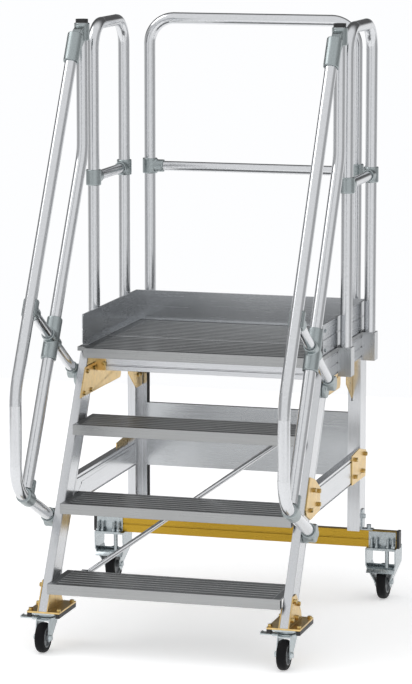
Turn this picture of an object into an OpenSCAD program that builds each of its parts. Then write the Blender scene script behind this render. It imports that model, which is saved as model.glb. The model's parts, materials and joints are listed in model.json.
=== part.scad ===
// Rolling warehouse ladder: three treads, a guarded platform, four castors.
// Millimetres. X is the width, Y runs from the front to the back, Z is up.

/* [Steps] */
// Vertical distance from one tread to the next
rise = 240; // [235:1:245]
// Height of the first tread top above the floor
first_tread_z = 230; // [226:1:234]
// Clear width between the two stringers
step_width = 788; // [700:2:900]
// Depth of one tread from front to back
tread_depth = 213; // [205:1:220]
// Height of the smooth nosing at the front of a tread
nosing_h = 35; // [30:1:40]
// Number of broad ribs on a tread
tread_ribs = 6; // [4:1:6]

/* [Stringers] */
// Thickness of the stringer, post and platform side profiles
profile_t = 28; // [26:1:30]
// Distance of the stringer front behind the tread front at equal height
stringer_setback = 48.6; // [46:0.1:50]
// Depth of a stringer measured level, front to back
stringer_level_depth = 104; // [100:1:106]

/* [Platform] */
// Front edge of the platform, behind the front of tread 1
platform_front_y = 392; // [390:1:394]
// Depth of the front deck plank
front_plank_depth = 280; // [270:1:282]
// Height of the toe boards above the deck
toe_h = 103; // [90:1:120]

/* [Rails] */
// Outside diameter of the round rail tubes
tube_d = 40; // [38:0.5:41]
// Wall thickness of the round rail tubes
tube_wall = 2.5; // [2:0.5:4]
// Height of the guard hoop centre line at the top
hoop_z = 2013; // [1950:1:2030]
// Height of the mid rails
mid_rail_z = 1494; // [1400:1:1560]
// Bend radius of the guard hoops
hoop_bend = 90; // [70:1:110]

/* [Castors] */
// Diameter of the front castor wheels
front_wheel_d = 100; // [96:1:101]
// Diameter of the rear castor wheels
rear_wheel_d = 125; // [120:1:128]
// Width of the castor tyres
tyre_w = 34; // [28:1:36]

/* [Hidden] */
slope = tan(30);
half_w = step_width/2;
outer_x = half_w + profile_t;
rail_x = outer_x + 22;
deck_z = first_tread_z + 3*rise;
deck_t = 14;
beam_top_z = deck_z - deck_t;
beam_bottom_z = beam_top_z - 75;
platform_back_y = 1074;
centre_y = 477;
tube_r = tube_d/2;
clamp_r = tube_r + 6;
post_y = 976;
post_depth = 86;
cross_top_z = 248;
cross_bottom_z = 188;
cross_y = 1005;
cross_depth = 28;
cross_half = 548;
hoop_front_y = 670;
hoop_rear_y = 1017;
rear_hoop_x = 373;
rear_hoop_y = 1094;
front_castor_x = half_w + profile_t/2;
swivel_y = 42;
rear_castor_x = 496;
rear_castor_y = 1042;
foot_z = 137;
brace_bottom_z = 438;
brace_top_z = 530;
front_beam_y = 518;
margin = 25;
front_r = front_wheel_d/2;
rear_r = rear_wheel_d/2;
// handrail and knee rail paths, as [depth, height] in the side plane
hand_path = [[483, 1990], [-150, 885], [-150, 573], [198, 409.5]];
hand_bend = [0, 160, 120, 0];
knee_path = [[552, 2026], [552, 1590.5], [-47, 553]];
knee_bend = [0, 150, 0];
strut_path = [[4, 1137], [458, 855]];
hand_clamp = [4, 1137];
knee_clamp = [214.5, 1006.3];
low_clamp = [-52, 527];
steel = [0.78, 0.79, 0.80];
gold = [0.80, 0.64, 0.32];
cast = [0.60, 0.65, 0.63];
zinc = [0.70, 0.73, 0.74];
black = [0.08, 0.08, 0.08];
amber = [0.72, 0.55, 0.18];

// ---- placing ----
module place() translate([0, -centre_y, 0]) children();
module both() {
  children();
  mirror([1, 0, 0]) children();
}
// a side-plane outline [depth, height], thickened from x0 towards +X
module side_plate(x0, t) translate([x0, 0, 0]) rotate([90, 0, 90]) linear_extrude(t) children();
// a front-plane outline [x, height], thickened from y0 towards +Y
module front_plate(y0, t) translate([0, y0 + t, 0]) rotate([90, 0, 0]) linear_extrude(t) children();
module box(a, b) translate(a) cube(b - a);
module rod_x(x0, x1, y, z, r) translate([x0, y, z]) rotate([0, 90, 0]) cylinder(h = x1 - x0, r = r);
module rod_y(y0, y1, x, z, r) translate([x, y0, z]) rotate([-90, 0, 0]) cylinder(h = y1 - y0, r = r);
function stringer_y(z) = (z - first_tread_z)*slope + stringer_setback;

// ---- round tube along a flat path with true bends ----
function unit(v) = v/norm(v);
function ang(v) = atan2(v[1], v[0]);
function turn(p, i) = let(a = ang(p[i + 1] - p[i]) - ang(p[i] - p[i - 1]))
  a > 180 ? a - 360 : (a < -180 ? a + 360 : a);
function setoff(p, b, i) = (i == 0 || i == len(p) - 1) ? 0 : b[i]*tan(abs(turn(p, i))/2);
// outside radius ro, inside radius ri; thin joint rings tie the straights to the bends
module tube_run(h, ro, ri) difference() {
  cylinder(h = h, r = ro);
  translate([0, 0, -1]) cylinder(h = h + 2, r = ri);
}
module along(a, d) translate([a[0], a[1], 0]) rotate([0, 0, ang(d)]) rotate([0, 90, 0]) children();
module path_tube(p, b) {
  for (i = [0:len(p) - 2]) {
    d = unit(p[i + 1] - p[i]);
    a = p[i] + d*setoff(p, b, i);
    e = p[i + 1] - d*setoff(p, b, i + 1);
    along(a, d) tube_run(norm(e - a), tube_r, tube_r - tube_wall);
    if (i > 0) along(a - d*2, d) tube_run(4, tube_r + 0.2, tube_r - tube_wall - 0.2);
    if (i < len(p) - 2) along(e - d*2, d) tube_run(4, tube_r + 0.2, tube_r - tube_wall - 0.2);
  }
  for (i = [1:len(p) - 2]) {
    t = turn(p, i);
    s = t > 0 ? 1 : -1;
    d1 = unit(p[i] - p[i - 1]);
    d2 = unit(p[i + 1] - p[i]);
    c = p[i] - d1*setoff(p, b, i) + s*b[i]*[-d1[1], d1[0]];
    start = t > 0 ? ang(d1) - 90 : ang(d2) + 90;
    translate([c[0], c[1], 0]) rotate([0, 0, start])
      rotate_extrude(angle = abs(t)) translate([b[i], 0]) difference() {
        circle(r = tube_r);
        circle(r = tube_r - tube_wall);
      }
  }
}
// straight solid bar between two points of the side plane, drawn past both ends
module bar(a, e, r, over = 0) along(a - unit(e - a)*over, e - a)
  cylinder(h = norm(e - a) + 2*over, r = r);
module side_plane(x) translate([x, 0, 0]) rotate([90, 0, 90]) children();
module back_plane(y) translate([0, y, 0]) rotate([90, 0, 0]) children();
// sleeve of a casting, centred on a point of the side plane and laid along a direction
module sleeve(c, d, len, r) translate([c[0], c[1], 0]) rotate([0, 0, ang(d)]) rotate([0, 90, 0])
  translate([0, 0, -len/2]) cylinder(h = len, r = r);

// ---- stringers ----
module stringer_outline(inset, z0, z1) polygon([
  [stringer_y(z0) + inset, z0], [stringer_y(z0) + stringer_level_depth - inset, z0],
  [stringer_y(z1) + stringer_level_depth - inset, z1], [stringer_y(z1) + inset, z1]]);
module stringer() difference() {
  side_plate(half_w, profile_t) stringer_outline(0, foot_z, beam_top_z);
  side_plate(half_w + 3, profile_t - 6) stringer_outline(3.5, foot_z - 1, beam_top_z + 1);
  for (at = [3, 90]) for (x = [half_w - 1, outer_x - 0.8]) side_plate(x, 1.8)
    polygon([[stringer_y(foot_z - 1) + at, foot_z - 1], [stringer_y(foot_z - 1) + at + 4, foot_z - 1],
      [stringer_y(beam_top_z + 1) + at + 4, beam_top_z + 1],
      [stringer_y(beam_top_z + 1) + at, beam_top_z + 1]]);
}
module stringer_right() color(steel) place() stringer();
module stringer_left() color(steel) place() mirror([1, 0, 0]) stringer();

// ---- treads ----
module plank_profile(depth, nose, tail) union() {
  translate([0, -6]) square([depth, 6]);
  difference() {
    translate([0, -nose]) square([24, nose]);
    translate([3, 3 - nose]) square([18, nose - 9]);
  }
  difference() {
    translate([depth - 20, -tail]) square([20, tail]);
    translate([depth - 17, 3 - tail]) square([14, tail - 9]);
  }
}
module rib_grooves(depth, ribs, first) for (i = [0:ribs])
  translate([first + i*(depth - first - 12)/ribs, -1.6]) square([8, 2]);
module tread(i) place() difference() {
  side_plate(-half_w, 2*half_w) translate([i*rise*slope, first_tread_z + i*rise])
    plank_profile(tread_depth, nosing_h, 28);
  side_plate(margin - half_w, 2*(half_w - margin)) translate([i*rise*slope, first_tread_z + i*rise])
    rib_grooves(tread_depth, tread_ribs, 26);
}
module tread_1() color(steel) tread(0);
module tread_2() color(steel) tread(1);
module tread_3() color(steel) tread(2);
// small angles that carry each tread end on the stringer
module tread_brackets() color(zinc) place() both() for (i = [0:2])
  translate([0, i*rise*slope, first_tread_z + i*rise]) {
    box([half_w - 4, 60, -34], [half_w, 150, -6]);
    box([half_w - 30, 60, -10], [half_w - 4, 150, -6]);
  }

// ---- platform ----
module deck_plank_front() color(steel) place() difference() {
  union() {
    side_plate(-outer_x, 2*outer_x) translate([platform_front_y + 24, deck_z - deck_t])
      square([front_plank_depth - 24, deck_t]);
    side_plate(-half_w, 2*half_w) translate([platform_front_y, deck_z]) difference() {
      translate([0, -33]) square([24, 33]);
      translate([3, -30]) square([18, 24]);
    }
  }
  side_plate(margin - half_w, 2*(half_w - margin)) for (i = [0:8])
    translate([platform_front_y + 28 + i*30, deck_z - 1.6]) square([8, 2]);
  side_plate(-half_w, 2*half_w) for (i = [0:7])
    translate([platform_front_y + 30 + i*30, deck_z - deck_t - 1]) square([24, 10]);
}
module deck_plank_rear() color(steel) place() difference() {
  box([-outer_x, platform_front_y + front_plank_depth + 8, deck_z - deck_t],
    [outer_x, platform_back_y, deck_z]);
  side_plate(margin - half_w, 2*(half_w - margin)) for (i = [0:11])
    translate([platform_front_y + front_plank_depth + 20 + i*30, deck_z - 1.6]) square([8, 2]);
  side_plate(-half_w, 2*half_w) for (i = [0:10])
    translate([platform_front_y + front_plank_depth + 14 + i*30, deck_z - deck_t - 1])
      square([24, 10]);
}
module platform_front_beam() color(steel) place() difference() {
  box([4 - half_w, front_beam_y, 856], [half_w - 4, front_beam_y + profile_t, beam_top_z]);
  box([-half_w, front_beam_y + 3, 859], [half_w, front_beam_y + profile_t - 3, beam_top_z - 3]);
  box([-half_w, front_beam_y - 1, 872], [half_w, front_beam_y + 2, 876]);
}
module platform_side_beam() difference() {
  side_plate(half_w, profile_t) polygon([
    [stringer_y(beam_bottom_z) + stringer_level_depth, beam_bottom_z],
    [platform_back_y, beam_bottom_z], [platform_back_y, beam_top_z],
    [stringer_y(beam_top_z) + stringer_level_depth, beam_top_z]]);
  box([half_w + 3, 0, beam_bottom_z + 3], [outer_x - 3, platform_back_y + 1, beam_top_z - 3]);
  for (z = [beam_bottom_z + 2, 896, beam_top_z - 6])
    box([outer_x - 2, 0, z], [outer_x + 1, platform_back_y + 1, z + 4]);
}
module platform_side_beam_right() color(steel) place() platform_side_beam();
module platform_side_beam_left() color(steel) place() mirror([1, 0, 0]) platform_side_beam();
module platform_rear_beam() color(steel) place() difference() {
  box([-half_w, platform_back_y - 28, beam_bottom_z], [half_w, platform_back_y, beam_top_z]);
  box([-half_w - 1, platform_back_y - 25, beam_bottom_z + 3],
    [half_w + 1, platform_back_y - 3, beam_top_z - 3]);
}

// ---- toe boards ----
module toe_side() difference() {
  union() {
    box([outer_x - 6, 459, deck_z], [outer_x - 3, platform_back_y - 3, deck_z + toe_h]);
    box([outer_x - 26, 459, deck_z], [outer_x - 6, platform_back_y - 3, deck_z + 3]);
    box([outer_x - 9, 459, deck_z + toe_h - 5], [outer_x - 3, platform_back_y - 3, deck_z + toe_h]);
  }
  for (z = [deck_z + 0.8, deck_z + 50])
    box([outer_x - 5, 0, z], [outer_x, platform_back_y, z + 4]);
}
module toe_board_right() color(steel) place() toe_side();
module toe_board_left() color(steel) place() mirror([1, 0, 0]) toe_side();
module toe_board_rear() color(steel) place() {
  box([-outer_x + 3, platform_back_y - 3, deck_z], [outer_x - 3, platform_back_y, deck_z + toe_h]);
  box([-outer_x + 26, platform_back_y - 23, deck_z], [outer_x - 26, platform_back_y - 3, deck_z + 3]);
}

// ---- rear posts and bracing ----
module post(front_fin) difference() {
  union() {
    box([half_w, post_y, cross_top_z], [outer_x, post_y + post_depth, beam_bottom_z]);
    box([half_w - 19, post_y + post_depth - 4, cross_top_z],
      [half_w, post_y + post_depth, beam_bottom_z]);
    if (front_fin) difference() {
      box([half_w - 16, post_y, cross_top_z], [half_w, post_y + 4, beam_bottom_z]);
      box([half_w - 4.2, post_y - 1, 710], [half_w, post_y + 5, beam_bottom_z + 1]);
    }
  }
  box([half_w + 3, post_y + 3, cross_top_z - 1],
    [outer_x - 3, post_y + post_depth - 3, beam_bottom_z + 1]);
  for (y = [post_y + 3, post_y + 80])
    box([outer_x - 1.5, y, cross_top_z - 1], [outer_x + 1, y + 3, beam_bottom_z + 1]);
}
module rear_post_right() color(steel) place() post(true);
module rear_post_left() color(steel) place() mirror([1, 0, 0]) post(false);
module side_braces() color(steel) place() both() difference() {
  side_plate(half_w, profile_t) polygon([
    [stringer_y(brace_bottom_z) + stringer_level_depth, brace_bottom_z], [post_y, brace_bottom_z],
    [post_y, brace_top_z], [stringer_y(brace_top_z) + stringer_level_depth, brace_top_z]]);
  box([half_w + 5, 0, brace_bottom_z + 3], [outer_x - 5, post_y + 1, brace_top_z - 3]);
  for (z = [brace_bottom_z + 2, brace_top_z - 13]) for (x = [half_w - 1, outer_x - 3.5])
    box([x, 0, z], [x + 4.5, post_y + 1, z + 4.5]);
  for (q = [[368, 495], [901, 501], [948, 468]]) rod_x(half_w - 1, half_w + 6, q[0], q[1], 4);
}
module rear_panel() color(steel) place() {
  box([-375, 1052, 427], [375, 1055, 653]);
  box([-366, 1055, 650], [366, 1070, 653]);
  box([-366, 1055, 427], [366, 1070, 430]);
}
module edge_strips() color(black) place() both()
  box([366, 1055, cross_top_z], [375, 1062, beam_bottom_z]);
// round brace bolted behind the backs of tread 1, at the left, and tread 3, at the right
brace_a = [-335, 233, 216];
brace_b = [330, 510, 696];
module brace_end(p, back_y) {
  rod_y(back_y, p[1] - 3, p[0], p[2], 8);
  box(p - [15, 3, 13], p + [15, 3, 13]);
  translate([p[0], p[1] + 3, p[2]]) rotate([-90, 0, 0]) cylinder(h = 5, r = 7, $fn = 6);
}
module diagonal_brace() color(steel) place() {
  v = brace_b - brace_a;
  translate(brace_a + 11*v/norm(v)) rotate([0, acos(v[2]/norm(v)), atan2(v[1], v[0])])
    cylinder(h = norm(v) - 22, r = 8.5);
  brace_end(brace_a, tread_depth);
  brace_end(brace_b, 2*rise*slope + tread_depth);
}

// ---- yellow-passivated steel plates ----
module platform_gussets() color(gold) place() both() difference() {
  union() {
    side_plate(half_w - 4, 4) polygon([[352, 786], [790, 786], [800, 797], [800, 853], [518, 853],
      [518, 883], [408, 883]]);
    box([half_w - 40, front_beam_y - 4, 856], [half_w - 4, front_beam_y, 914]);
    box([half_w - 4, front_beam_y - 4, 883], [half_w, front_beam_y, 914]);
  }
  for (q = [[392, 797], [466, 797], [430, 866], [503, 866], [760, 830]])
    rod_x(half_w - 5, half_w + 1, q[0], q[1], 5);
}
module post_gussets() color(gold) place() both() difference() {
  side_plate(half_w - 4, 4) polygon([[893, beam_bottom_z + 30], [893, 780], [980, 716],
    [1046, 716], [1046, beam_bottom_z + 30]]);
  for (q = [[930, 870], [1020, 870], [1000, 760], [1030, 760]])
    rod_x(half_w - 5, half_w + 1, q[0], q[1], 5);
}
module brace_brackets() color(gold) place() both() difference() {
  union() {
    side_plate(outer_x, 4) polygon([[208, 480], [262, 580], [325, 562], [398, 520], [392, 444],
      [272, 436], [215, 462]]);
    side_plate(outer_x, 4) polygon([[850, 436], [1046, 433], [1058, 524], [954, 547], [850, 540]]);
  }
  for (q = [[262, 470], [300, 530], [365, 470], [365, 515], [888, 460], [888, 520], [1000, 460],
      [1030, 515]]) rod_x(outer_x - 1, outer_x + 5, q[0], q[1], 5);
}

// ---- rear crossbeam ----
module crossbeam() color(amber) place() difference() {
  box([-cross_half, cross_y, cross_bottom_z], [cross_half, cross_y + cross_depth, cross_top_z]);
  box([-cross_half - 1, cross_y + 3, cross_bottom_z + 3],
    [cross_half + 1, cross_y + cross_depth - 3, cross_top_z - 3]);
  box([-cross_half - 1, cross_y - 1, 216], [cross_half + 1, cross_y + 1.5, 220]);
}
module end_caps() color(black) place() both() {
  box([cross_half, cross_y - 2, cross_bottom_z],
    [cross_half + 10, cross_y + cross_depth + 2, cross_top_z + 2]);
  translate([rail_x, 552, 2026]) cylinder(h = 12, r = tube_r + 1);
}
// angles that bolt each post down on the crossbeam
module post_feet() color(zinc) place() both() {
  box([outer_x, cross_y, cross_top_z], [outer_x + 4, cross_y + cross_depth, 320]);
  box([outer_x + 4, cross_y, cross_top_z], [outer_x + 40, cross_y + cross_depth, cross_top_z + 4]);
  rod_x(outer_x + 4, outer_x + 12, cross_y + 14, 295, 8);
  translate([outer_x + 24, cross_y + 14, cross_top_z + 4]) cylinder(h = 14, r = 8);
}

// ---- hand and knee rails ----
module handrail(x) color(steel) place() side_plane(x) path_tube(hand_path, hand_bend);
module handrail_left() handrail(-rail_x);
module handrail_right() handrail(rail_x);
module knee_rail(x) color(steel) place() side_plane(x) path_tube(knee_path, knee_bend);
module knee_rail_left() knee_rail(-rail_x);
module knee_rail_right() knee_rail(rail_x);
strut_d = unit(strut_path[1] - strut_path[0]);
strut_cut = [strut_path[0] + strut_d*(tube_r + 2), knee_clamp - strut_d*(tube_r + 2),
  knee_clamp + strut_d*(tube_r + 2), strut_path[1] - strut_d*12];
module strut_bars() {
  bar(strut_cut[0], strut_cut[1], 17);
  bar(strut_cut[2], strut_cut[3], 17);
}
module struts() color(steel) place() for (x = [-rail_x, rail_x]) side_plane(x) {
  along(strut_cut[0], strut_d) tube_run(norm(strut_cut[1] - strut_cut[0]), 17, 14.5);
  along(strut_cut[2], strut_d) tube_run(norm(strut_cut[3] - strut_cut[2]), 17, 14.5);
}
hand_d = unit(hand_path[1] - hand_path[0]);
knee_d = unit(knee_path[2] - knee_path[1]);
tail_d = unit(hand_path[3] - hand_path[2]);
module hand_bore() bar(hand_path[0], hand_path[0] + hand_d*1100, tube_r);
module knee_bore() bar(knee_path[2] - knee_d*900, knee_path[2], tube_r);
module tail_bore() bar(hand_path[3] - tail_d*300, hand_path[3], tube_r);
module rail_connectors() color(cast) place() for (x = [-rail_x, rail_x]) side_plane(x) difference() {
  union() {
    sleeve([458, 1946], hand_d, 104, clamp_r);
    sleeve([552, 1996], [0, 1], 60, clamp_r);
    translate([0, 0, -14]) linear_extrude(28)
      polygon([[462, 1932], [490, 1928], [552, 1972], [552, 2022], [500, 2008], [470, 1985]]);
  }
  hand_bore();
  bar([552, 1900], [552, 2026], tube_r);
}
module rail_clamps() color(cast) place() for (x = [-rail_x, rail_x]) side_plane(x) {
  difference() {
    union() {
      sleeve(hand_clamp, hand_d, 60, clamp_r);
      sleeve(hand_clamp + strut_d*30, strut_d, 36, clamp_r - 3);
    }
    hand_bore();
    bar(strut_cut[0], strut_cut[1], 17);
  }
  difference() {
    union() {
      sleeve(knee_clamp, knee_d, 146, clamp_r);
      sleeve(knee_clamp, strut_d, 92, clamp_r - 3);
    }
    knee_bore();
    strut_bars();
  }
  difference() {
    union() {
      sleeve(low_clamp, tail_d, 62, clamp_r);
      sleeve(low_clamp - knee_d*34, knee_d, 50, clamp_r - 1);
    }
    tail_bore();
    knee_bore();
  }
}
// castings that hold the strut and the handrail on the outside of a stringer
module lug(x, p, d, sleeve_r, cap_r, disc, disc_r, bore) difference() {
  union() {
    difference() {
      side_plane(x) sleeve(p - d*14, d, 52, sleeve_r);
      box([-outer_x, -100, 0], [outer_x, 800, 1200]);
    }
    rod_x(x < 0 ? x - 19 : outer_x, x < 0 ? -outer_x : x + 19, p[0], p[1], cap_r);
    rod_x(x < 0 ? x + 8 : outer_x, x < 0 ? -outer_x : x - 8, disc[0], disc[1], disc_r);
  }
  side_plane(x) bar(p - d*120, p, bore);
}
module stringer_lugs() color(cast) place() for (x = [-rail_x, rail_x]) {
  lug(x, strut_cut[3], strut_d, 21, 25, strut_path[1] - [12, 14], 30, 17.05);
  lug(x, hand_path[3], tail_d, 26, 31, hand_path[3] + tail_d*8, 33, tube_r);
}

// ---- guard hoops ----
module side_hoop(x) color(steel) place() side_plane(x) path_tube(
  [[hoop_front_y, 858], [hoop_front_y, hoop_z], [hoop_rear_y, hoop_z], [hoop_rear_y, 858]],
  [0, hoop_bend, hoop_bend, 0]);
module guard_hoop_left() side_hoop(-rail_x);
module guard_hoop_right() side_hoop(rail_x);
module guard_hoop_rear() color(steel) place() back_plane(rear_hoop_y) path_tube(
  [[-rear_hoop_x, 858], [-rear_hoop_x, hoop_z], [rear_hoop_x, hoop_z], [rear_hoop_x, 858]],
  [0, hoop_bend, hoop_bend, 0]);
module mid_rails() color(steel) place() {
  for (x = [-rail_x, rail_x]) difference() {
    rod_y(hoop_front_y + tube_r, hoop_rear_y - tube_r, x, mid_rail_z, 17);
    rod_y(hoop_front_y, hoop_rear_y, x, mid_rail_z, 14.5);
    for (y = [hoop_front_y, hoop_rear_y]) translate([x, y, mid_rail_z - 60]) cylinder(h = 120, r = tube_r);
  }
  difference() {
    rod_x(-rear_hoop_x + tube_r, rear_hoop_x - tube_r, rear_hoop_y, mid_rail_z, 17);
    rod_x(-rear_hoop_x, rear_hoop_x, rear_hoop_y, mid_rail_z, 14.5);
    for (x = [-rear_hoop_x, rear_hoop_x]) translate([x, rear_hoop_y, mid_rail_z - 60])
      cylinder(h = 120, r = tube_r);
  }
}
module mid_rail_clamps() color(cast) place() {
  for (x = [-rail_x, rail_x]) for (s = [0, 1]) difference() {
    y = s == 0 ? hoop_front_y : hoop_rear_y;
    union() {
      translate([x, y, mid_rail_z - 27]) cylinder(h = 54, r = clamp_r);
      rod_y(s == 0 ? y : y - 52, s == 0 ? y + 52 : y, x, mid_rail_z, clamp_r - 4);
    }
    translate([x, y, mid_rail_z - 60]) cylinder(h = 120, r = tube_r);
    rod_y(hoop_front_y, hoop_rear_y, x, mid_rail_z, 17);
  }
  for (s = [-1, 1]) difference() {
    x = s*rear_hoop_x;
    union() {
      translate([x, rear_hoop_y, mid_rail_z - 27]) cylinder(h = 54, r = clamp_r);
      rod_x(s > 0 ? x - 52 : x, s > 0 ? x : x + 52, rear_hoop_y, mid_rail_z, clamp_r - 4);
    }
    translate([x, rear_hoop_y, mid_rail_z - 60]) cylinder(h = 120, r = tube_r);
    rod_x(-rear_hoop_x, rear_hoop_x, rear_hoop_y, mid_rail_z, 17);
  }
}
// extruded sockets on the outside of the platform that hold the hoop legs
module hoop_holders() color(steel) place() both() {
  for (y = [hoop_front_y, hoop_rear_y]) difference() {
    box([outer_x, y - 24, 850], [rail_x + 23, y + 24, 948]);
    translate([rail_x, y, 858]) cylinder(h = 200, r = tube_r);
  }
  difference() {
    box([rear_hoop_x - 24, platform_back_y, 850], [rear_hoop_x + 24, rear_hoop_y + 23, 948]);
    translate([rear_hoop_x, rear_hoop_y, 858]) cylinder(h = 200, r = tube_r);
  }
}

// ---- front feet and swivel castors ----
module front_feet() color(gold) place() both() difference() {
  union() {
    box([350, -5, foot_z - 6], [462, 170, foot_z]);
    side_plate(outer_x, 4) polygon([[-8, foot_z], [156, foot_z], [150, 160], [112, 205], [84, 231],
      [46, 231]]);
    side_plate(half_w - 4, 4) polygon([[-8, foot_z], [156, foot_z], [120, 188], [60, 195], [28, 195]]);
  }
  for (q = [[54, 214], [100, 196], [20, 160], [80, 155]])
    rod_x(half_w - 5, outer_x + 5, q[0], q[1], 4.5);
}
module foot_pads() color(black) place() both() {
  box([350, -5, 116], [364, 170, foot_z - 6]);
  box([448, -5, 116], [462, 170, foot_z - 6]);
}
module front_castor_plates() color(zinc) place() both() difference() {
  union() {
    box([368, -3, 125], [446, 87, foot_z - 6]);
    translate([front_castor_x, swivel_y, 114]) cylinder(h = 11, r = 28);
  }
  translate([front_castor_x, swivel_y, 113]) cylinder(h = 30, r = 6.06);
}
cheek_gap = tyre_w/2 + 3;
module front_fork() {
  difference() {
    union() {
      translate([front_castor_x, swivel_y, 105]) cylinder(h = 7, r = 34);
      box([front_castor_x - cheek_gap, -2, 105], [front_castor_x + cheek_gap, 84, 109]);
      translate([front_castor_x, swivel_y, 111]) cylinder(h = 18, r = 6);
      for (x = [front_castor_x - cheek_gap - 3, front_castor_x + cheek_gap]) side_plate(x, 3)
        polygon([[-2, 112], [84, 112], [86, 96], [16, 38], [-8, 36], [-15, 48], [-14, 60]]);
      box([front_castor_x - 42, swivel_y - 12, 103], [front_castor_x - 20, swivel_y + 12, 109]);
    }
    rod_y(swivel_y - 13, swivel_y + 13, front_castor_x - 42, 106, 6.4);
  }
  rod_x(front_castor_x - 27, front_castor_x + 27, 0, front_r, 5);
  rod_y(swivel_y - 20, swivel_y + 20, front_castor_x - 42, 106, 2.5);
  for (y = [swivel_y - 20, swivel_y + 17]) box([front_castor_x - 45, y, 103], [front_castor_x - 20, y + 3, 109]);
  rod_x(front_castor_x - 31, front_castor_x - cheek_gap - 3, 0, front_r, 9);
  rod_x(front_castor_x + cheek_gap + 3, front_castor_x + 31, 0, front_r, 9);
}
module front_fork_right() color(zinc) place() front_fork();
module front_fork_left() color(zinc) place() translate([-2*front_castor_x, 0, 0]) front_fork();
module wheel_hub(r, w) difference() {
  union() {
    cylinder(h = w, r = r*0.66, center = true);
    cylinder(h = w + 3, r = 13, center = true);
  }
  for (s = [-1, 1]) translate([0, 0, s*w/2]) difference() {
    cylinder(h = 10, r = r*0.58, center = true);
    cylinder(h = 12, r = 15, center = true);
  }
  cylinder(h = w + 10, r = 5.06, center = true);
}
module wheel_tyre(r, w) rotate_extrude() polygon([[r*0.66, -w/2], [r - 7, -w/2], [r - 2, -w/2 + 4],
  [r, -w/2 + 11], [r, w/2 - 11], [r - 2, w/2 - 4], [r - 7, w/2], [r*0.66, w/2]]);
module on_front_axle(s) translate([s*front_castor_x, 0, front_r]) rotate([0, 90, 0]) children();
module front_hub_right() color(zinc) place() on_front_axle(1) wheel_hub(front_r, tyre_w);
module front_hub_left() color(zinc) place() on_front_axle(-1) wheel_hub(front_r, tyre_w);
module front_tyre_right() color(black) place() on_front_axle(1) wheel_tyre(front_r, tyre_w);
module front_tyre_left() color(black) place() on_front_axle(-1) wheel_tyre(front_r, tyre_w);
module brake_pedal(cx) difference() {
  union() {
    rod_y(swivel_y - 16, swivel_y + 16, cx - 42, 106, 5.6);
    box([cx - 88, swivel_y - 16, 104], [cx - 42, swivel_y + 16, 108]);
    box([cx - 88, swivel_y - 16, 104], [cx - 84, swivel_y + 16, 111]);
  }
  rod_y(swivel_y - 30, swivel_y + 30, cx - 42, 106, 2.56);
}
module brake_pedal_right() color(zinc) place() brake_pedal(front_castor_x);
module brake_pedal_left() color(zinc) place() brake_pedal(-front_castor_x);

// ---- rear castors ----
module rear_castor_brackets() color(zinc) place() both() {
  box([450, cross_y - 4, cross_bottom_z], [546, cross_y, 246]);
  box([450, cross_y - 32, cross_bottom_z], [546, cross_y - 4, cross_bottom_z + 4]);
  for (x = [463, 481, 521, 538]) translate([x, cross_y - 18, cross_bottom_z + 4]) {
    cylinder(h = 8, r = 7.5, $fn = 6);
    translate([0, 0, 8]) cylinder(h = 24, r = 4);
  }
}
module rear_fork_front_view() difference() {
  polygon([[-54, 182], [-54, 128], [-28, 62], [-28, 40], [28, 40], [28, 62], [54, 128], [54, 182]]);
  polygon([[-50, 183], [-50, 128], [-24, 62], [-24, 39], [24, 39], [24, 62], [50, 128], [50, 183]]);
}
module rear_fork() {
  box([-54, -60, 182], [54, 46, cross_bottom_z]);
  intersection() {
    translate([0, 80, 0]) rotate([90, 0, 0]) linear_extrude(160) rear_fork_front_view();
    side_plate(-60, 120) polygon([[-60, 182], [46, 182], [44, 140], [18, 48], [6, 40], [-6, 40],
      [-20, 50], [-56, 118]]);
  }
  rod_x(-32, 32, 0, rear_r, 5);
  rod_x(-34, -28, 0, rear_r, 10);
  rod_x(28, 34, 0, rear_r, 10);
  translate([20, -42, 120]) cylinder(h = 62, r = 7);
  difference() {
    rod_x(-50, 50, 0, rear_r, rear_r + 12);
    rod_x(-51, 51, 0, rear_r, rear_r + 8);
    box([-60, -90, -20], [60, 90, 102]);
    box([-60, -30, -20], [60, 90, 200]);
  }
}
module rear_fork_right() color(zinc) place() translate([rear_castor_x, rear_castor_y, 0]) rear_fork();
module rear_fork_left() color(zinc) place() translate([-rear_castor_x, rear_castor_y, 0]) rear_fork();
module on_rear_axle(s) translate([s*rear_castor_x, rear_castor_y, rear_r]) rotate([0, 90, 0]) children();
module rear_hub_right() color(zinc) place() on_rear_axle(1) wheel_hub(rear_r, tyre_w);
module rear_hub_left() color(zinc) place() on_rear_axle(-1) wheel_hub(rear_r, tyre_w);
module rear_tyre_right() color(black) place() on_rear_axle(1) wheel_tyre(rear_r, tyre_w);
module rear_tyre_left() color(black) place() on_rear_axle(-1) wheel_tyre(rear_r, tyre_w);

// ---- bolt heads on the outside of the frame ----
module bolt_x(x, y, z) translate([x, y, z]) rotate([0, 90, 0]) cylinder(h = 5, r = 7, $fn = 6);
module frame_bolts() color(zinc) place() both() {
  for (q = [[262, 470], [300, 530], [365, 470], [365, 515], [888, 460], [888, 520], [1000, 460],
      [1030, 515], [54, 214], [100, 196], [20, 160], [80, 155]]) bolt_x(outer_x + 4, q[0], q[1]);
  for (q = [[392, 797], [466, 797], [430, 866], [503, 866], [760, 830], [930, 870], [1020, 870],
      [1000, 760], [1030, 760]]) bolt_x(half_w - 9, q[0], q[1]);
  translate([half_w - 34, front_beam_y - 4, 880]) rotate([90, 0, 0]) cylinder(h = 5, r = 7, $fn = 6);
  for (q = [[478, 1030], [478, 965], [760, 965], [760, 1030]]) bolt_x(outer_x - 3, q[0], q[1]);
  for (q = [[358, 12], [454, 12], [358, 150], [454, 150]])
    translate([q[0], q[1], foot_z]) cylinder(h = 9, r = 7, $fn = 6);
}

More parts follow.
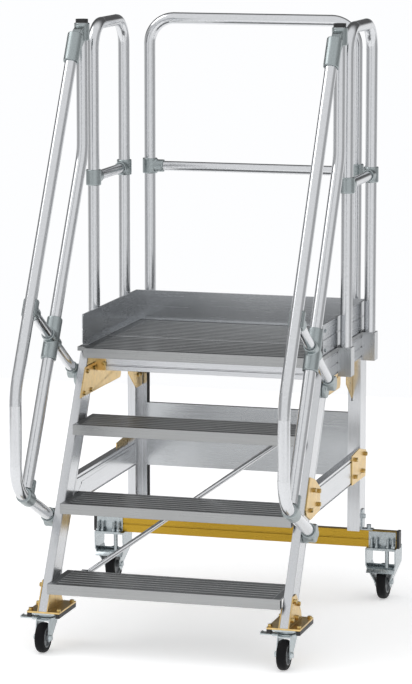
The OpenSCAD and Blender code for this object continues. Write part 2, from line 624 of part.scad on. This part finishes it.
stringer_left();
stringer_right();
tread_1();
tread_2();
tread_3();
tread_brackets();
deck_plank_front();
deck_plank_rear();
platform_front_beam();
platform_side_beam_left();
platform_side_beam_right();
platform_rear_beam();
toe_board_left();
toe_board_right();
toe_board_rear();
rear_post_left();
rear_post_right();
side_braces();
rear_panel();
edge_strips();
diagonal_brace();
platform_gussets();
post_gussets();
brace_brackets();
crossbeam();
end_caps();
post_feet();
handrail_left();
handrail_right();
knee_rail_left();
knee_rail_right();
struts();
rail_connectors();
rail_clamps();
stringer_lugs();
guard_hoop_left();
guard_hoop_right();
guard_hoop_rear();
mid_rails();
mid_rail_clamps();
hoop_holders();
front_feet();
foot_pads();
front_castor_plates();
front_fork_left();
front_fork_right();
front_hub_left();
front_hub_right();
front_tyre_left();
front_tyre_right();
brake_pedal_left();
brake_pedal_right();
rear_castor_brackets();
rear_fork_left();
rear_fork_right();
rear_hub_left();
rear_hub_right();
rear_tyre_left();
rear_tyre_right();
frame_bolts();
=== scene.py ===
import json
import math

import bmesh
import bpy
import numpy as np
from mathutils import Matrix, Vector

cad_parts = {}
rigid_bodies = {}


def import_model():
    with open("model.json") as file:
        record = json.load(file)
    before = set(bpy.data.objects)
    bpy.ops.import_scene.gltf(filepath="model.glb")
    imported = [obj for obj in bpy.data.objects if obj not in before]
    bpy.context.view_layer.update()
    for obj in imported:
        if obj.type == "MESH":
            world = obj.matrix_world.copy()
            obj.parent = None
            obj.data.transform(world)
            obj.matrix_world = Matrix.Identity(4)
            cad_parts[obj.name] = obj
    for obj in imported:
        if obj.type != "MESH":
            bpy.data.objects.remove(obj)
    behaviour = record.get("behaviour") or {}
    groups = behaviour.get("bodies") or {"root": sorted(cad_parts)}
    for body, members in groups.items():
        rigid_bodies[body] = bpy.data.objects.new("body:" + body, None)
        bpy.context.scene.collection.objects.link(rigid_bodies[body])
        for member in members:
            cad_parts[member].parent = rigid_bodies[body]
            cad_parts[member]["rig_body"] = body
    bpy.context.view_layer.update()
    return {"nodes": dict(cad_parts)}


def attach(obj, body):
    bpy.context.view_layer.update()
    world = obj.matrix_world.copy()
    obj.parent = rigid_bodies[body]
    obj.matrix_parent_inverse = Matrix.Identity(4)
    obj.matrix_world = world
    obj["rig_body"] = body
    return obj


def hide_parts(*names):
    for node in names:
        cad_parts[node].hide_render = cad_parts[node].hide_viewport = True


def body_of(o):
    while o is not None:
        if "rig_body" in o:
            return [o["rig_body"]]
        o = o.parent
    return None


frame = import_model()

nodes = frame["nodes"]

# Stringers, rear posts and foot fins.
# Flat box extrusions of aluminium, 28 mm thick, sawn on the slope and bolted
# up; the skin keeps the fine straight lines that the die drew along them.
ALLOY = (0.60, 0.61, 0.625)


GRAIN_DEPTH = 0.0004


def metal(name, colour, rough, grain, spread=0.06, metallic=1.0, bump=0.04):
    """A finish whose tone, gloss and relief follow one noise stretched by grain.

    grain is how often the noise changes per metre along X, Y and Z, so a small
    number lays the lines along that direction. Tone is colour x (1 +- spread),
    and a second, broad noise makes the handling marks in the gloss.
    """
    material = bpy.data.materials.new(name)
    material.use_nodes = True
    tree = material.node_tree
    shader = tree.nodes["Principled BSDF"]
    shader.inputs["Metallic"].default_value = metallic
    place = tree.nodes.new("ShaderNodeTexCoord")
    stretch = tree.nodes.new("ShaderNodeMapping")
    stretch.inputs["Scale"].default_value = grain
    lines = tree.nodes.new("ShaderNodeTexNoise")
    lines.inputs["Scale"].default_value = 1.0
    lines.inputs["Detail"].default_value = 3.0
    marks = tree.nodes.new("ShaderNodeTexNoise")
    marks.inputs["Scale"].default_value = 9.0
    marks.inputs["Detail"].default_value = 5.0
    tone = tree.nodes.new("ShaderNodeValToRGB")
    tone.color_ramp.elements[0].position = 0.32
    tone.color_ramp.elements[1].position = 0.68
    tone.color_ramp.elements[0].color = (*[c * (1 - spread) for c in colour], 1)
    tone.color_ramp.elements[1].color = (*[min(1, c * (1 + spread)) for c in colour], 1)
    both = tree.nodes.new("ShaderNodeMath")
    both.operation = "ADD"
    polish = tree.nodes.new("ShaderNodeMapRange")
    polish.inputs["From Min"].default_value = 0.6
    polish.inputs["From Max"].default_value = 1.4
    polish.inputs["To Min"].default_value = rough * 0.75
    polish.inputs["To Max"].default_value = rough * 1.3
    relief = tree.nodes.new("ShaderNodeBump")
    relief.inputs["Strength"].default_value = bump
    relief.inputs["Distance"].default_value = GRAIN_DEPTH
    link = tree.links.new
    link(place.outputs["Object"], stretch.inputs["Vector"])
    link(place.outputs["Object"], marks.inputs["Vector"])
    link(stretch.outputs["Vector"], lines.inputs["Vector"])
    link(lines.outputs["Fac"], tone.inputs["Fac"])
    link(lines.outputs["Fac"], both.inputs[0])
    link(marks.outputs["Fac"], both.inputs[1])
    link(both.outputs["Value"], polish.inputs["Value"])
    link(lines.outputs["Fac"], relief.inputs["Height"])
    link(tone.outputs["Color"], shader.inputs["Base Color"])
    link(polish.outputs["Result"], shader.inputs["Roughness"])
    link(relief.outputs["Normal"], shader.inputs["Normal"])
    return material


def dress(material, *names):
    """Puts one finish on every slot of these nodes."""
    for name in names:
        for slot in nodes[name].material_slots:
            slot.material = material


def stand_in(name):
    """Separate piece with a merged copy of a node's mesh, shown in its place."""
    mesh = nodes[name].data.copy()
    mesh.name = f"{name}_finished"
    merged = bmesh.new()
    merged.from_mesh(mesh)
    bmesh.ops.remove_doubles(merged, verts=merged.verts, dist=0.00002)
    merged.to_mesh(mesh)
    merged.free()
    piece = bpy.data.objects.new(f"{name}_finished", mesh)
    bpy.context.scene.collection.objects.link(piece)
    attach(piece, body_of(nodes[name])[0])
    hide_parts(name)
    return piece


def soften(width, *names):
    """Rounds the sawn and pressed edges of these parts by a small bevel."""
    pieces = [stand_in(name) for name in names]
    for piece in pieces:
        bevel = piece.modifiers.new("edge", "BEVEL")
        bevel.width = width
        bevel.segments = 2
        bevel.limit_method = "ANGLE"
        bevel.angle_limit = math.radians(50)
        bevel.use_clamp_overlap = True
    return pieces


ALONG_X = (4, 500, 500)
ALONG_Y = (500, 4, 500)
ALONG_Z = (500, 500, 4)
UPRIGHTS = ("stringer_left", "stringer_right", "rear_post_left", "rear_post_right")
dress(metal("drawn_upright", ALLOY, 0.20, ALONG_Z), *UPRIGHTS)
soften(0.0012, *UPRIGHTS)

# Side braces and platform side beams with the sockets of the guard tubes.
# The same box extrusion laid level, with a deep groove near each edge.
LEVELS = ("side_braces", "platform_side_beam_left", "platform_side_beam_right")
dress(metal("drawn_level", ALLOY, 0.20, ALONG_Y), *LEVELS)
dress(metal("socket_alloy", (0.54, 0.55, 0.56), 0.30, ALONG_Z), "hoop_holders")
soften(0.0008, *LEVELS)
soften(0.0020, "hoop_holders")

# Platform cross beams.
# Box extrusion between the side beams, with one fine groove along the front.
CROSS = ("platform_front_beam", "platform_rear_beam")
dress(metal("drawn_across", (0.63, 0.64, 0.66), 0.24, ALONG_X), *CROSS)
soften(0.0008, *CROSS)

# Treads and deck planks.
# Ribbed extrusions. The faces that point up get a darker copy of the tread alloy,
# same gloss: painted shade on the walking face, while the smooth nosing at the front keeps the
# plain tread tone.


STEPPED_ON = ("tread_1", "tread_2", "tread_3", "deck_plank_front", "deck_plank_rear")
dress(metal("tread_alloy", (0.37, 0.375, 0.375), 0.30, ALONG_X, bump=0.06), *STEPPED_ON)
# Painted shade: a copy of the tread alloy at 0.62 of its tone, same gloss, for the faces that
# point up.
tread_top_painted_shade = metal("walking_face_painted_shade", (0.229, 0.2325, 0.236), 0.30, ALONG_X, bump=0.06)
FACES_UP = 0.75
for piece in soften(0.0010, *STEPPED_ON):
    lean = np.empty(len(piece.data.polygons) * 3)
    piece.data.polygons.foreach_get("normal", lean)
    # Faces pointing up (normal z above FACES_UP) take the darker copy: painted shade on the tread
    # and deck tops.
    piece.data.materials.append(tread_top_painted_shade)
    piece.data.polygons.foreach_set("material_index", (lean[2::3] > FACES_UP).astype(np.int32))


# Lips at the ends of the treads and deck planks, painted as bright lines.
# A half-round bead, 3 mm wide, where the ribs stop at each end, and a low strip
# along the joint of the deck planks and along the toe board, both in an alloy paler than the
# treads: a painted highlight along these edges.
HALF_RIBS = 0.369
DECK_TOP = 0.950
# Painted highlight: 0.55 alloy against the treads' 0.37, so the beads show as bright lines at the
# tread ends and deck joints.
bead_highlight_metal = metal("bead_alloy_painted_highlight", (0.55, 0.56, 0.57), 0.28, ALONG_Y)
BEADS = [(-0.475, -0.267, 0.230), (-0.336, -0.128, 0.470), (-0.198, 0.010, 0.710),
         (-0.083, 0.192, DECK_TOP), (0.206, 0.590, DECK_TOP)]


def close_up(mesh):
    """Merges seams and poles, points the faces outwards and shades by angle."""
    work = bmesh.new()
    work.from_mesh(mesh)
    bmesh.ops.remove_doubles(work, verts=work.verts, dist=0.000005)
    bmesh.ops.recalc_face_normals(work, faces=work.faces)
    work.to_mesh(mesh)
    work.free()
    mesh.shade_smooth()
    mesh.set_sharp_from_angle(angle=math.radians(35))


def one_piece(name, parts, material, body):
    """Joins closed grids of points into one piece of like parts.

    rows[i][j] is station i, place j round it. Each cell of a grid is one face,
    j joins back to 0, and the end stations are drawn to a point or meet.
    """
    verts, faces, base = [], [], 0
    for rows in parts:
        n, m = rows.shape[:2]
        i, j = np.meshgrid(np.arange(n - 1), np.arange(m), indexing="ij")
        k = (j + 1) % m
        quad = np.stack([i * m + j, i * m + k, (i + 1) * m + k, (i + 1) * m + j], -1)
        verts.append(rows.reshape(-1, 3))
        faces.append(quad.reshape(-1, 4) + base)
        base += n * m
    mesh = bpy.data.meshes.new(name)
    mesh.from_pydata(np.concatenate(verts).tolist(), [], np.concatenate(faces).tolist())
    mesh.materials.append(material)
    obj = bpy.data.objects.new(name, mesh)
    bpy.context.scene.collection.objects.link(obj)
    close_up(mesh)
    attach(obj, body)
    return obj


def bead(x, y0, y1, z):
    """Half-round lip: a flat arc 3 mm wide and 0.8 mm high carried from y0 to y1."""
    a = np.linspace(0, 2 * np.pi, 12, endpoint=False)
    loop = np.stack([x + 0.0016 * np.cos(a), np.zeros(12), z - 0.0004 + 0.0008 * np.sin(a)], -1)
    stations = []
    for y, grow in ((y0, 0), (y0, 1), (y1, 1), (y1, 0)):
        middle = np.array([x, y, z - 0.0004])
        ring = loop + (0, y, 0)
        stations.append(middle + (ring - middle) * grow)
    return np.array(stations)


one_piece("tread_end_beads",
          [bead(side * HALF_RIBS, *b) for b in BEADS for side in (-1, 1)],
          bead_highlight_metal, "frame")


def flat_lip(x0, x1, y0, y1, z, rise):
    """Low rounded strip across the deck: a squashed oval carried from x0 to x1."""
    a = np.linspace(0, 2 * np.pi, 24, endpoint=False)
    oval = np.sign(np.cos(a)) * np.abs(np.cos(a)) ** 0.5
    across = (y0 + y1) / 2 + (y1 - y0) / 2 * oval
    up = z + rise * np.sin(a)
    ring = np.stack([np.zeros(24), across, up], -1)
    middle = np.array([0, (y0 + y1) / 2, z])
    return np.array([middle + (ring - middle) * grow + (x, 0, 0)
                     for x, grow in ((x0, 0), (x0, 1), (x1, 1), (x1, 0))])


LIP_RISE = 0.0009
one_piece("deck_joint_lips",
          [flat_lip(-HALF_RIBS, HALF_RIBS, y0, y1, DECK_TOP, LIP_RISE)
           for y0, y1 in ((0.1925, 0.2055), (0.5780, 0.5900))],
          bead_highlight_metal, "frame")

# Toe boards and the rear panel.
# Smooth alloy sheet 3 mm thick, folded along its edges, which mirrors the
# deck in front of it softly; screwed to the deck edges and to the posts.
SHEETS = ("toe_board_left", "toe_board_right", "toe_board_rear", "rear_panel")
dress(metal("rolled_sheet", (0.50, 0.515, 0.53), 0.24, (6, 6, 500), 0.03, bump=0.03), *SHEETS)
soften(0.0006, *SHEETS)

# Handrails, knee rails, guard hoops, mid rails, struts and the diagonal brace.
# Round drawn aluminium tube with a satin skin, bent cold to shape.
TUBES = ("handrail_left", "handrail_right", "knee_rail_left", "knee_rail_right",
         "guard_hoop_left", "guard_hoop_right", "guard_hoop_rear", "mid_rails",
         "struts", "diagonal_brace")
dress(metal("satin_tube", (0.67, 0.68, 0.695), 0.17, (140, 140, 140), 0.03, bump=0.02), *TUBES)

# Rail connectors, clamps and lugs.
# Aluminium castings with filleted edges, tumbled to a green-grey satin skin.
CASTINGS = ("rail_connectors", "rail_clamps", "stringer_lugs", "mid_rail_clamps")
cast_skin = metal("cast_skin", (0.36, 0.40, 0.405), 0.34, (260, 260, 260), 0.10, bump=0.25)
dress(cast_skin, *CASTINGS)
for name in CASTINGS:
    casting = stand_in(name)
    skin = casting.modifiers.new("cast", "REMESH")
    skin.mode = "VOXEL"
    skin.voxel_size = 0.0022
    skin.use_smooth_shade = True
    fillet = casting.modifiers.new("fillet", "SMOOTH")
    fillet.factor = 0.6
    fillet.iterations = 7

# Gussets, brace brackets and feet.
# Pressed steel plate 4 mm thick, zinc plated and passivated to straw yellow.
YELLOW = ("platform_gussets", "post_gussets", "brace_brackets", "front_feet")
yellow = metal("yellow_zinc", (0.70, 0.50, 0.215), 0.30, (40, 40, 40), 0.12, bump=0.08)
dress(yellow, *YELLOW)
soften(0.0009, *YELLOW)

# Rear crossbeam.
# Gold anodised rectangular tube with a groove along its front.
dress(metal("gold_anodised", (0.47, 0.29, 0.035), 0.27, ALONG_X, 0.06), "crossbeam")
soften(0.0012, "crossbeam")

# Castor steelwork.
# Bright zinc plated pressings, riveted and welded.
ZINCED = ("post_feet", "tread_brackets", "front_castor_plates", "front_fork_left",
          "front_fork_right", "brake_pedal_left", "brake_pedal_right",
          "rear_castor_brackets", "rear_fork_left", "rear_fork_right")
bright = metal("bright_zinc", (0.42, 0.46, 0.475), 0.26, (90, 90, 90), 0.12, bump=0.10)
dress(bright, *ZINCED)
# Painted light: the front castor plates, forks and brake pedals get a copy of the bright zinc
# about a third lighter and rougher; the lighter tone is painted light, the higher roughness is the
# finish.
rough_zinc_painted_light = metal("dull_zinc_painted_light", (0.56, 0.61, 0.625), 0.48, (90, 90, 90), 0.10, bump=0.10)
dress(rough_zinc_painted_light, "front_castor_plates", "front_fork_left", "front_fork_right",
      "brake_pedal_left", "brake_pedal_right")
soften(0.0008, *ZINCED)

# Bolts on the plates.
# Hexagon bolts with a pressed washer face and a rounded crown, yellow zinc on
# the yellow plates and small bright ones through the toe boards. Heights and
# depths are taken from the front axle, as the drilling is set out.


def bolt(centre, axis, size=0.0078, height=0.005):
    """Hexagon head on a washer, worked out in polar form.

    Radius at angle a is the hexagon's (flat distance / cos of the angle from
    the nearest flat), cut back by a cone near the top for the turned crown.
    """
    a = np.linspace(0, 2 * np.pi, 36, endpoint=False)
    hexagon = size * 0.87 / np.cos((a + np.pi / 6) % (np.pi / 3) - np.pi / 6)
    round_ = np.full_like(a, size * 1.04)
    axis = np.array(axis, float)
    u = np.cross(axis, (0.3, 0.5, 0.81))
    u /= np.linalg.norm(u)
    v = np.cross(axis, u)
    ring = np.cos(a)[:, None] * u + np.sin(a)[:, None] * v
    stations = [(round_ * 0, 0), (round_, 0), (round_, 0.001), (hexagon * 0.98, 0.0011),
                (hexagon, height * 0.75), (np.minimum(hexagon, size * 0.9), height),
                (hexagon * 0.5, height + 0.0004), (round_ * 0, height + 0.0005)]
    return np.array([np.array(centre) + r[:, None] * ring + d * axis for r, d in stations])


AXLE_TO_MIDDLE = 0.477
BRACKET_FACE = 0.426
GUSSET_FACE = 0.390
BOARD_FACE = 0.419
FOOT_TOP = 0.137
on_brackets = [(0.262, 0.470), (0.300, 0.530), (0.365, 0.470), (0.365, 0.515), (0.888, 0.460),
               (0.888, 0.520), (1.000, 0.460), (1.030, 0.515), (0.054, 0.214), (0.100, 0.196),
               (0.020, 0.160), (0.080, 0.155)]
on_gussets = [(0.392, 0.797), (0.466, 0.797), (0.430, 0.866), (0.503, 0.866), (0.760, 0.830),
              (0.930, 0.870), (1.020, 0.870), (1.000, 0.760), (1.030, 0.760)]
on_feet = [(0.358, 0.012), (0.454, 0.012), (0.358, 0.150), (0.454, 0.150)]
on_toe_boards = [(0.478, 1.030), (0.478, 0.965), (0.760, 0.965), (0.760, 1.030)]
yellow_heads, bright_heads = [], []
for side in (-1, 1):
    yellow_heads += [bolt((side * BRACKET_FACE, y - AXLE_TO_MIDDLE, z), (side, 0, 0), height=0.010)
                     for y, z in on_brackets]
    yellow_heads += [bolt((side * GUSSET_FACE, y - AXLE_TO_MIDDLE, z), (-side, 0, 0))
                     for y, z in on_gussets]
    yellow_heads += [bolt((side * x, y - AXLE_TO_MIDDLE, FOOT_TOP), (0, 0, 1), height=0.008)
                     for x, y in on_feet]
    yellow_heads.append(bolt((side * 0.360, 0.514 - AXLE_TO_MIDDLE, 0.880), (0, -1, 0)))
    bright_heads += [bolt((side * BOARD_FACE, y - AXLE_TO_MIDDLE, z), (side, 0, 0),
                          size=0.006, height=0.004) for y, z in on_toe_boards]
plated = metal("plated_bolt_yellow", (0.52, 0.38, 0.15), 0.28, (200, 200, 200), 0.2, bump=0.1)
heads = one_piece("plate_bolts", yellow_heads, plated, "frame")
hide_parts("frame_bolts")
one_piece("toe_board_screws", bright_heads, bright, "frame")

# Black plastic caps, edge strips and rubber pads.
# Moulded black parts: caps pushed in the tube ends, pads glued under the feet.
black = metal("black_moulding", (0.012, 0.012, 0.013), 0.45, (300, 300, 300), 0.2,
              metallic=0.0, bump=0.15)
dress(black, "end_caps", "edge_strips", "foot_pads")
soften(0.0015, "end_caps", "foot_pads")

# Castor wheels.
# Black elastic rubber tyres with a rounded tread and a raised side ring,
# moulded on a grey plastic centre with a zinc bush for the axle; the bush is turned with the
# centre and shown in its grey.
rubber = metal("black_rubber", (0.006, 0.006, 0.007), 0.55, (180, 180, 180), 0.3,
               metallic=0.0, bump=0.3)
rubber.node_tree.nodes["Principled BSDF"].inputs["Specular IOR Level"].default_value = 0.12
centre_grey = metal("wheel_centre", (0.17, 0.18, 0.19), 0.38, (120, 120, 120), 0.1,
                    metallic=0.0, bump=0.1)


def turned(profile, centre, axis, steps=64):
    """Turned part: profile (radius, distance along axis) carried round axis.

    Point(s, a) = centre + radius(s) (cos a u + sin a v) + distance(s) axis.
    """
    axis = np.array(axis, float)
    u = np.cross(axis, (0.3, 0.5, 0.81))
    u /= np.linalg.norm(u)
    v = np.cross(axis, u)
    a = np.linspace(0, 2 * np.pi, steps, endpoint=False)
    ring = np.cos(a)[:, None] * u + np.sin(a)[:, None] * v
    r, d = np.array(profile, float).T
    return np.array(centre) + r[:, None, None] * ring + d[:, None, None] * axis


def tyre_profile(r, w):
    """Half section of a tyre as (radius, across): flat wall, ring, round tread."""
    half = w / 2
    a = np.linspace(0, np.pi / 2, 7)
    round_ = [(r - 0.011 + 0.011 * math.sin(t), half - 0.0125 + 0.0125 * math.cos(t) - 0.0005)
              for t in a]
    wall = [(r * 0.66, half - 0.003), (r * 0.70, half - 0.001), (r * 0.73, half - 0.001),
            (r * 0.745, half - 0.0022)]
    side = wall + round_
    other = [(p, -q) for p, q in reversed(side)]
    return side + other + [side[0]]


def hub_profile(r, w):
    """Section of the wheel centre: dished web, thick rim and a standing bush."""
    half = w / 2
    side = [(0.0052, half + 0.0012), (0.0115, half + 0.0012), (0.0125, half + 0.0002),
            (0.013, half - 0.006), (r * 0.40, half - 0.0085), (r * 0.54, half - 0.0075),
            (r * 0.575, half - 0.002), (r * 0.60, half - 0.001), (r * 0.658, half - 0.0015)]
    other = [(p, -q) for p, q in reversed(side)]
    return side + other + [side[0]]


TYRE_WIDTH = 0.034
ALONG_AXLE = (1, 0, 0)
WHEELS = [("front", 0.408, -0.477, 0.050), ("rear", 0.496, 0.565, 0.0625)]
for end, x, y, r in WHEELS:
    for hand, side in (("left", -1), ("right", 1)):
        place = (side * x, y, r)
        body = f"{end}_wheel_{hand}"
        tyre = one_piece(f"{end}_tyre_{hand}_rubber",
                         [turned(tyre_profile(r, TYRE_WIDTH), place, ALONG_AXLE)],
                         rubber, body)
        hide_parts(f"{end}_tyre_{hand}")
        hub = one_piece(f"{end}_hub_{hand}_centre",
                        [turned(hub_profile(r, TYRE_WIDTH), place, ALONG_AXLE)],
                        centre_grey, body)
        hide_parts(f"{end}_hub_{hand}")

# Floor, light and camera.
# A plain pale floor in an even white surround, dimmed behind and to the sides
# as by studio flags, with one large soft lamp.
bpy.ops.mesh.primitive_plane_add(size=9)
floor = bpy.context.object
floor.name = "floor"
pale = bpy.data.materials.new("pale_floor")
pale.use_nodes = True
floor_shader = pale.node_tree.nodes["Principled BSDF"]
floor_shader.inputs["Base Color"].default_value = (0.93, 0.93, 0.93, 1)
floor_shader.inputs["Roughness"].default_value = 0.9
floor_shader.inputs["Emission Color"].default_value = (1, 1, 1, 1)
floor_shader.inputs["Emission Strength"].default_value = 0.42
floor.data.materials.append(pale)

world = bpy.data.worlds.new("studio_surround")
bpy.context.scene.world = world
world.use_nodes = True
tree = world.node_tree
sky = tree.nodes["Background"]
ray = tree.nodes.new("ShaderNodeLightPath")
look = tree.nodes.new("ShaderNodeTexCoord")
BACKWARD = (-0.277, 0.961, 0.0)
SIDEWAYS = (0.961, 0.277, 0.0)


def toward(direction):
    """Cosine between the looked-at direction and this one."""
    dot = tree.nodes.new("ShaderNodeVectorMath")
    dot.operation = "DOT_PRODUCT"
    dot.inputs[1].default_value = direction
    tree.links.new(look.outputs["Generated"], dot.inputs[0])
    return dot.outputs["Value"]


def ramp_of(value, low, high, size_only=False):
    """0 below low, 1 above high, smooth between; of the size alone if asked."""
    if size_only:
        absolute = tree.nodes.new("ShaderNodeMath")
        absolute.operation = "ABSOLUTE"
        tree.links.new(value, absolute.inputs[0])
        value = absolute.outputs["Value"]
    step = tree.nodes.new("ShaderNodeMapRange")
    step.interpolation_type = "SMOOTHSTEP"
    step.inputs["From Min"].default_value = low
    step.inputs["From Max"].default_value = high
    tree.links.new(value, step.inputs["Value"])
    return step.outputs["Result"]


def combined(kind, a, b):
    """Sum, product or greater of two values."""
    node = tree.nodes.new("ShaderNodeMath")
    node.operation = kind
    for socket, value in zip(node.inputs, (a, b)):
        if isinstance(value, (int, float)):
            socket.default_value = value
        else:
            tree.links.new(value, socket)
    return node.outputs["Value"]


behind_above = combined("MULTIPLY", ramp_of(toward(BACKWARD), 0.05, 0.65),
                        ramp_of(toward((0, 0, 1)), -0.02, 0.16))
beside = combined("MULTIPLY", ramp_of(toward(SIDEWAYS), 0.72, 0.93, True), 0.55)
shade = combined("MAXIMUM", behind_above, beside)
level = combined("SUBTRACT", 0.95, combined("MULTIPLY", shade, 0.84))
seen = combined("MAXIMUM", level, ray.outputs["Is Camera Ray"])
tree.links.new(seen, sky.inputs["Strength"])
sky.inputs["Color"].default_value = (0.985, 0.99, 1.0, 1)

lamp = bpy.data.lights.new("soft_key", "AREA")
lamp.size = 3.5
lamp.energy = 90
key = bpy.data.objects.new("soft_key", lamp)
key.location = (-4.8, -0.5, 6.0)
key.rotation_euler = (Vector((0, 0, 1)) - key.location).to_track_quat("-Z", "Y").to_euler()
bpy.context.scene.collection.objects.link(key)

bpy.context.scene.view_settings.view_transform = "Standard"

lens = bpy.data.cameras.new("camera")
lens.sensor_fit = "HORIZONTAL"
lens.sensor_width = 36.0
lens.lens = 283.6
lens.clip_end = 100.0
camera = bpy.data.objects.new("camera", lens)
camera.location = (2.970, -10.2755, 2.686)
camera.rotation_euler = (math.radians(90 - 9.09), 0, math.radians(16.07))
bpy.context.scene.collection.objects.link(camera)
bpy.context.scene.camera = camera
